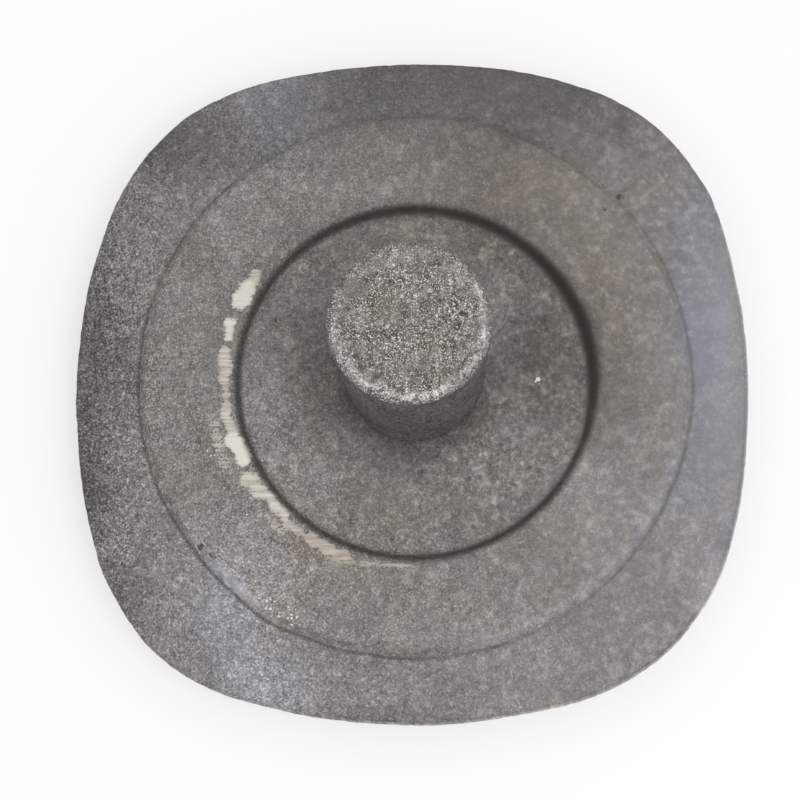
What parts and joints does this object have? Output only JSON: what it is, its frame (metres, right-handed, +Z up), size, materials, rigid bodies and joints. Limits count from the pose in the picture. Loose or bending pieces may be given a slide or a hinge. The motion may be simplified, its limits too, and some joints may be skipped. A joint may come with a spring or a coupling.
{
  "type": "molcajete",
  "caption": "Flat stone molcajete: a rounded-square slab with a raised grinding ring and a shallow round recess, and a cylindrical tejolote that lifts out of it.",
  "frame": {"origin": "on the surface that the pads stand on, under the centre of the slab", "axes": "+Z up along the tejolote, +X to the right and +Y to the back, square to the slab's sides"},
  "size_m": [0.22, 0.22, 0.0964],
  "materials": {
    "basalt": "honed",
    "worn_basalt": "rough",
    "pad": "matte"
  },
  "bodies": {
    "mortar": {"mortar_slab": "basalt", "pad_front_left": "pad", "pad_front_right": "pad", "pad_back_left": "pad", "pad_back_right": "pad"},
    "tejolote": {"tejolote": "worn_basalt"}
  },
  "joints": [
    {"name": "tejolote_lift", "type": "slide", "parent": "mortar", "child": "tejolote", "axis": [0, 0, 1], "range_m": [0, 0.12]}
  ]
}
